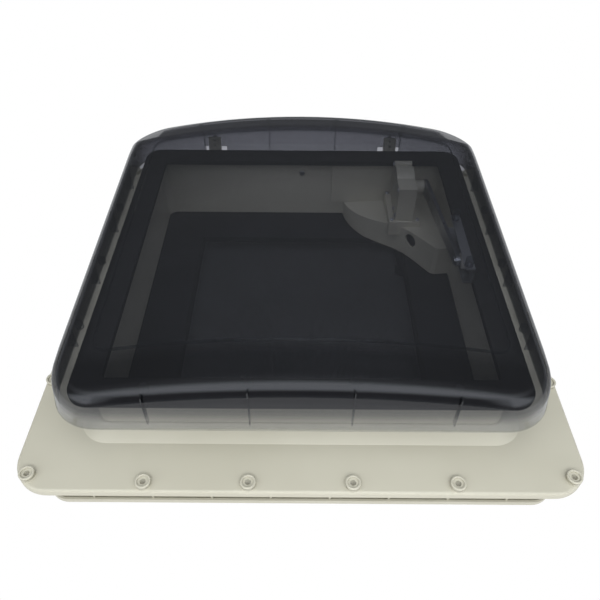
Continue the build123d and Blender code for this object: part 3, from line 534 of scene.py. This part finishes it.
def grazing_tint(tree, facing, clear, edge):
    """Tint that turns from clear to edge, and on to half of that, towards a glancing view."""
    ramp = tree.nodes.new("ShaderNodeValToRGB")
    ramp.color_ramp.elements[0].color = (*clear, 1)
    ramp.color_ramp.elements[1].color = (*[value * 0.5 for value in edge], 1)
    for position, colour in ((GRAZING_START, clear), (GRAZING_EDGE, edge)):
        stop = ramp.color_ramp.elements.new(position)
        stop.color = (*colour, 1)
    tree.links.new(facing, ramp.inputs["Fac"])
    return ramp.outputs["Color"]


def lid_tint(tree, facing, clear, edge, rim_shade, low):
    """Tint of the lid: clear to edge inside the creases. Outside them is the darker rim tint, a painted shade
    for the shadow under the lid's border. Low in the front skirt is the paler low tint, a painted light for
    the lit flange foot seen through it.
    """
    middle = grazing_tint(tree, facing, clear, edge)
    # Painted shade: the darker rim tint outside the creases stands in for the shadow under the lid's border
    shaded_border = grazing_tint(tree, facing, rim_shade, tuple(value * RIM_SHADE_EDGE for value in rim_shade))
    place = split_place(tree, "Object")
    outside = []
    for axis, crease in (("X", CREASE_X), ("Y", CREASE_Y)):
        distance = combine(tree, "ABSOLUTE", place[axis])
        outside.append(step_up(tree, distance, crease, crease + RIM_SHADE_FADE))
    roof = blend(tree, combine(tree, "MAXIMUM", *outside), middle, shaded_border)
    # Painted light: low at the front, the paler low tint brightens the lit flange foot seen through the skirt
    above = step_up(tree, place["Z"], *SKIRT_LIGHT_Z)
    behind = step_up(tree, place["Y"], *SKIRT_LIGHT_Y)
    return blend(tree, combine(tree, "MAXIMUM", above, behind), low, roof)


def smoked(name, clear, edge, rim_shade, low, haze):
    """Smoked clear plastic: tinted, a little milky, with a mirror share that grows at glancing views."""
    material, tree, output = node_material(name)
    weight = tree.nodes.new("ShaderNodeLayerWeight")
    weight.inputs["Blend"].default_value = 0.5
    facing = weight.outputs["Facing"]
    through = tree.nodes.new("ShaderNodeBsdfTransparent")
    tree.links.new(lid_tint(tree, facing, clear, edge, rim_shade, low), through.inputs["Color"])
    milk = tree.nodes.new("ShaderNodeBsdfDiffuse")
    milk.inputs["Color"].default_value = (0.10, 0.105, 0.12, 1)
    body = tree.nodes.new("ShaderNodeMixShader")
    tree.links.new(spread(tree, noise(tree, 14, 5.0), haze * 0.7, haze * 1.3), body.inputs["Fac"])
    tree.links.new(through.outputs["BSDF"], body.inputs[1])
    tree.links.new(milk.outputs["BSDF"], body.inputs[2])
    gloss = tree.nodes.new("ShaderNodeBsdfGlossy")
    gloss.inputs["Color"].default_value = (0.95, 0.97, 1.0, 1)
    tree.links.new(spread(tree, noise(tree, 40), 0.02, 0.06), gloss.inputs["Roughness"])
    # Schlick's formula for the mirror share
    rise = combine(tree, "POWER", facing, SCHLICK_POWER)
    share = combine(tree, "MULTIPLY_ADD", rise, MIRROR_RISE, MIRROR_FACING)
    final = tree.nodes.new("ShaderNodeMixShader")
    tree.links.new(share, final.inputs["Fac"])
    tree.links.new(body.outputs["Shader"], final.inputs[1])
    tree.links.new(gloss.outputs["BSDF"], final.inputs[2])
    tree.links.new(final.outputs["Shader"], output.inputs["Surface"])
    return material


CREAM = solid("cream_plastic", (0.465, 0.447, 0.362), (0.495, 0.477, 0.392), (0.34, 0.48), 2600, 0.25)
BLACK = solid("black_plastic", (0.012, 0.012, 0.013), (0.02, 0.02, 0.022), (0.38, 0.55), 2200, 0.35)
RUBBER = solid("black_rubber", (0.012, 0.012, 0.012), (0.022, 0.022, 0.021), (0.7, 0.9), 1500, 0.5)
WIRE_COAT = solid("black_mesh", (0.012, 0.012, 0.012), (0.02, 0.02, 0.02), (0.6, 0.8), 900, 0.2)
STEEL = solid("zinc_steel", (0.42, 0.43, 0.45), (0.56, 0.57, 0.59), (0.25, 0.42), 900, 0.3, metal=1, patch=60)
ALUMINIUM = solid("aluminium", (0.62, 0.63, 0.64), (0.72, 0.73, 0.74), (0.28, 0.4), 700, 0.25, metal=1)
NYLON = solid("white_nylon", (0.66, 0.65, 0.60), (0.74, 0.73, 0.69), (0.35, 0.5), 1500, 0.2)
SMOKED = smoked(
    "smoked_plastic",
    clear=(0.70, 0.705, 0.73),
    edge=(0.20, 0.205, 0.23),
    # rim: painted shade outside the creases; low: painted light on the front skirt's lower band
    rim_shade=(0.50, 0.505, 0.53),
    low=(0.77, 0.775, 0.79),
    haze=0.012,
)
SMOKED_RIB = smoked(
    "smoked_rib",
    clear=(0.70, 0.71, 0.73),
    edge=(0.55, 0.56, 0.58),
    rim_shade=(0.70, 0.71, 0.73),
    low=(0.8, 0.8, 0.81),
    haze=0.02,
)

FINISHES = {
    "cream_plastic": CREAM,
    "black_plastic": BLACK,
    "black_rubber": RUBBER,
    "black_mesh": WIRE_COAT,
    "zinc_steel": STEEL,
    "aluminium": ALUMINIUM,
    "white_nylon": NYLON,
    "smoked_plastic": SMOKED,
}
for part in frame["record"]["subparts"]:
    shown = frame["nodes"][part["node"]]
    shown.data.materials.clear()
    shown.data.materials.append(FINISHES[part["material_slot"]])


# Stage --------------------------------------------------------------------------------------


def build_floor():
    """Grey patch under the vent and a glowing white sweep round it. The grey is a painted shade that darkens
    the floor seen through the screen, on top of the shadows the patch takes.
    """
    shade, tree, output = node_material("painted_shade_floor")
    shader = tree.nodes.new("ShaderNodeBsdfDiffuse")
    # Painted shade: the patch is grey, not white, to darken the floor under the vent
    tone = two_tone(tree, noise(tree, 2.0), (0.58, 0.58, 0.58), (0.62, 0.62, 0.62))
    tree.links.new(tone, shader.inputs["Color"])
    tree.links.new(shader.outputs["BSDF"], output.inputs["Surface"])
    glow, tree, output = node_material("white_sweep")
    light = tree.nodes.new("ShaderNodeEmission")
    light.inputs["Strength"].default_value = 1.0
    tree.links.new(light.outputs["Emission"], output.inputs["Surface"])
    bm = bmesh.new()
    steps = (-SWEEP, -PATCH, PATCH, SWEEP)
    grid = [[bm.verts.new((x, y, 0)) for x in steps] for y in steps]
    for j in range(3):
        for i in range(3):
            face = bm.faces.new((grid[j][i], grid[j][i + 1], grid[j + 1][i + 1], grid[j + 1][i]))
            face.material_index = 0 if i == 1 and j == 1 else 1
    floor = link_mesh("floor", bm)
    floor.data.materials.append(shade)
    floor.data.materials.append(glow)
    floor.location.z = -FLOOR_DROP


def softbox(name, place, target, size, power):
    """Rectangular white lamp that faces a target and leaves no mirror image of itself."""
    lamp = bpy.data.lights.new(name, "AREA")
    lamp.shape = "RECTANGLE"
    lamp.size, lamp.size_y = size
    lamp.energy = power
    holder = bpy.data.objects.new(name, lamp)
    bpy.context.collection.objects.link(holder)
    holder.location = place
    holder.visible_glossy = False
    holder.rotation_euler = (Vector(target) - Vector(place)).to_track_quat("-Z", "Y").to_euler()


def build_world():
    """White tent: bright high in front and low at both sides, dim behind and along the horizon."""
    world = bpy.data.worlds.new("tent")
    bpy.context.scene.world = world
    world.use_nodes = True
    tree = world.node_tree
    toward = split_place(tree, "Generated")
    high = step_up(tree, toward["Z"], *HIGH_UP)
    high = combine(tree, "MULTIPLY", high, step_up(tree, toward["Y"], *HIGH_FRONT))
    aside = step_up(tree, combine(tree, "ABSOLUTE", toward["X"]), *SIDE_OUT)
    aside = combine(tree, "MULTIPLY", aside, step_up(tree, toward["Z"], *SIDE_UP))
    aside = combine(tree, "MULTIPLY", aside, step_up(tree, toward["Y"], *SIDE_FRONT))
    level = tree.nodes.new("ShaderNodeMapRange")
    level.inputs["To Min"].default_value = WORLD_DIM
    level.inputs["To Max"].default_value = WORLD_BRIGHT
    tree.links.new(combine(tree, "MAXIMUM", high, aside), level.inputs["Value"])
    sky = tree.nodes["Background"]
    sky.inputs["Color"].default_value = (0.93, 0.96, 1.0, 1)
    tree.links.new(level.outputs["Result"], sky.inputs["Strength"])


def place_camera():
    """Camera in front of the vent and above it, looking down."""
    lens = bpy.data.cameras.new("camera")
    lens.sensor_width = SENSOR
    lens.lens = LENS
    camera = bpy.data.objects.new("camera", lens)
    bpy.context.collection.objects.link(camera)
    camera.location = CAMERA_AT
    tilt = Matrix.Rotation(math.radians(CAMERA_TILT), 4, "X")
    roll = Matrix.Rotation(math.radians(CAMERA_ROLL), 4, "Z")
    camera.rotation_euler = (tilt @ roll).to_euler()
    bpy.context.scene.camera = camera


# Pieces, light and camera -------------------------------------------------------------------

lid = build_lid(SMOKED)
cut_hinge_windows(lid)
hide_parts("lid_dome")

lid_ribs = build_lid_inside(SMOKED_RIB)

weave = build_screen(WIRE_COAT)
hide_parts("screen_mesh")

boss_rings = build_boss_rings(CREAM)

build_floor()
softbox("overhead", place=(0, -0.2, 1.9), target=(0, 0, 0), size=(2.2, 1.6), power=OVERHEAD_POWER)
softbox("key", place=(0.04, -0.78, 0.70), target=(0, 0, 0.05), size=(0.5, 0.3), power=KEY_POWER)
softbox("front", place=(0, -2.0, 0.45), target=(0, 0, 0.08), size=(2.6, 0.5), power=FRONT_POWER)
build_world()
place_camera()
bpy.context.scene.view_settings.view_transform = "Standard"
